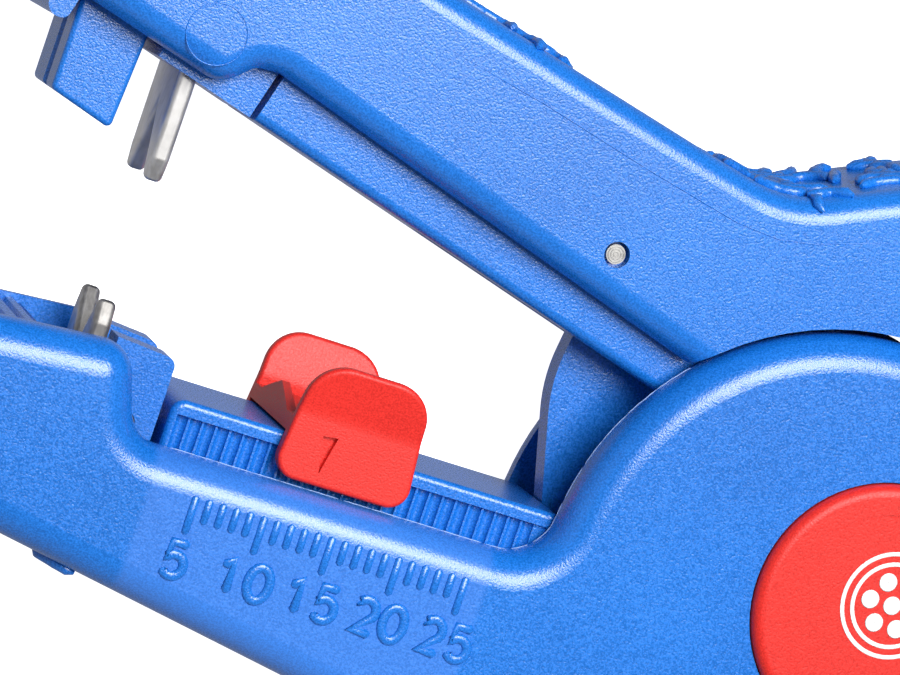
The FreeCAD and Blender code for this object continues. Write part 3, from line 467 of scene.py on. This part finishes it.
RIM_Y, RIM_CORNER, RIM_DEPTH = -3.75, 3.6, 3.0        # the jaw's inner rim: its run, its turn up, its depth
FLASH_START, FLASH_STEP, FLASH_END_ANGLE, FLASH_HUB_POINTS = -52.0, 0.4, 134, 44
FLASH_RADIUS, FLASH_RAGGED, FLASH_SEED = 0.04, 0.05, 7
SHRED_STEPS, SHRED_GAPS, BARE_STEPS = (4, 9), (0, 0, 0, 1), 6   # lengths, gaps, and what stays bare


def add_arm_marks():
    """The fine witness lines on the upper arm's face: a tool edge along the back and an ejector ring."""
    edge = [(x, y, ARM_FACE) for x, y in WITNESS_LINE]
    add_tubes("arm_witness_line", [edge], WITNESS_RADIUS, "housing", "blue_plastic")
    mark = ring(EJECTOR_CENTRE, EJECTOR_RADIUS, ARM_FACE, EJECTOR_EDGES)
    add_tubes("arm_ejector_ring", [mark], EJECTOR_LINE, "housing", "blue_plastic")


def add_pin_end():
    """The turned end of the arm pin: rings left by the lathe."""
    low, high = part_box("arm_pin")
    centre, radius, level = (low + high) / 2 / MM, (high.x - low.x) / 2 / MM, high.z / MM
    rings = [ring(centre, radius * share, level, PIN_RING_EDGES) for share in PIN_RING_SHARES]
    add_tubes("arm_pin_rings", rings, PIN_RING_LINE, "housing", "steel", level=level, flatten=PIN_RING_FLAT)


def add_flash_line():
    """The thin ragged flash left along the jaw's inner rim, from the rail's side up round the hub."""
    low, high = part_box("pivot_bolt")
    pivot = (low + high) / 2 / MM
    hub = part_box("jaw_front_shell")[1].x / MM - pivot.x
    turn_y = RIM_Y + RIM_CORNER
    turn_x = pivot.x - math.sqrt((hub + RIM_CORNER) ** 2 - (turn_y - pivot.y) ** 2)
    meeting = math.degrees(math.atan2(pivot.y - turn_y, pivot.x - turn_x))
    run = [(FLASH_START + FLASH_STEP * i, RIM_Y) for i in range(int((turn_x - FLASH_START) / FLASH_STEP))]
    run += arc((turn_x, turn_y), (RIM_CORNER, RIM_CORNER), -90, meeting)
    run += arc(pivot, (hub, hub), 180 + meeting, FLASH_END_ANGLE, FLASH_HUB_POINTS)
    source = random.Random(FLASH_SEED)
    level = JAW_FACE - RIM_DEPTH
    shreds, start = [], 0
    while start < len(run) - BARE_STEPS:
        end = start + source.randint(*SHRED_STEPS)
        shreds.append([(x, y, level + source.uniform(-FLASH_RAGGED, FLASH_RAGGED))
                       for x, y in run[start:end]])
        start = end - 1 + source.choice(SHRED_GAPS)
    add_tubes("jaw_flash_line", shreds, FLASH_RADIUS, "lower_jaw", "blue_plastic", FLASH_FINISH)


# ---------------------------------------------------------------- grip pattern

MIDDLE = JAW_FACE / 2
GRIP_LEFT, GRIP_HALF, ARM_HALF = -2.0, 9.1, 7.8       # the patches' half widths, right and left of GRIP_LEFT
RIDGES_PER_MM, RIDGE_RADIUS, RIDGE_LIFT = 2.6, 0.42, 0.18
RIDGE_STEP, RIDGE_WANDER, RIDGE_POINTS, RIDGE_FEWEST = 0.5, 0.8, 8, 4
CLEAR = 0.2                                           # well outside the tool, where the lookups start
ARM_PATCHES = [(-40.2, 4.0), (-35.2, 4.6), (-19.0, 4.0), (-13.2, 5.0), (-7.0, 5.6)]    # centre, length
JAW_PATCH = (-57.0, 4.5)
GRIP_PATCH_LENGTH, GRIP_PATCH_PITCH = 6.0, 9
UPPER_GRIP, LOWER_GRIP = (0, 108), (30, 112)          # where the grips' patches start and stop along X
UPPER_SEED, LOWER_SEED, JAW_SEED = 100, 300, 500


def surface_of(*names):
    """A lookup of the surface of some CAD nodes, in metres."""
    points, faces = [], []
    for name in names:
        mesh = NODES[name].data
        start = len(points)
        points += [vertex.co.copy() for vertex in mesh.vertices]
        faces += [[start + i for i in polygon.vertices] for polygon in mesh.polygons]
    return BVHTree.FromPolygons(points, faces)


def add_grip_patch(name, surface, place, side, body, seed):
    """A patch of raised, wandering ridges laid on an edge of the tool; side is 1 for upper, -1 for lower."""
    source = random.Random(seed)
    centre, length = place
    half = GRIP_HALF if centre > GRIP_LEFT else ARM_HALF
    paths = []
    for _ in range(int(length * RIDGES_PER_MM)):
        x = centre + source.uniform(-0.5, 0.5) * length
        z = MIDDLE + source.uniform(-half, half)
        heading = source.uniform(0, 2 * math.pi)
        path = []
        for _ in range(RIDGE_POINTS):
            start = Vector((x * MM, side * CLEAR, z * MM))
            hit, normal = surface.ray_cast(start, Vector((0, -side, 0)))[:2]
            if hit is None or abs(z - MIDDLE) > half:
                break
            path.append(tuple(hit / MM + normal * RIDGE_LIFT))
            heading += source.uniform(-RIDGE_WANDER, RIDGE_WANDER)
            x += RIDGE_STEP * math.cos(heading)
            z += RIDGE_STEP * math.sin(heading)
        if len(path) >= RIDGE_FEWEST:
            paths.append(path)
    add_tubes(name, paths, RIDGE_RADIUS, body, "blue_plastic")


def add_grip_patches():
    """Patches along the backs of both grips, the arm and the jaw."""
    upper = surface_of("housing_front_shell", "housing_rear_shell")
    lower = surface_of("handle_front_shell", "handle_rear_shell")
    jaw = surface_of("jaw_front_shell", "jaw_rear_shell")
    upper_places = ARM_PATCHES + [(x, GRIP_PATCH_LENGTH) for x in range(*UPPER_GRIP, GRIP_PATCH_PITCH)]
    lower_places = [(x, GRIP_PATCH_LENGTH) for x in range(*LOWER_GRIP, GRIP_PATCH_PITCH)]
    for i, place in enumerate(upper_places):
        add_grip_patch(f"upper_grip_patch_{i}", upper, place, 1, "housing", UPPER_SEED + i)
    for i, place in enumerate(lower_places):
        add_grip_patch(f"lower_grip_patch_{i}", lower, place, -1, "lower_handle", LOWER_SEED + i)
    add_grip_patch("jaw_grip_patch", jaw, JAW_PATCH, -1, "lower_jaw", JAW_SEED)


add_camera()
add_floor()
add_sky()
add_lights()
finish_frame()
add_scale()
add_cap_print()
add_arm_marks()
add_pin_end()
add_flash_line()
add_grip_patches()
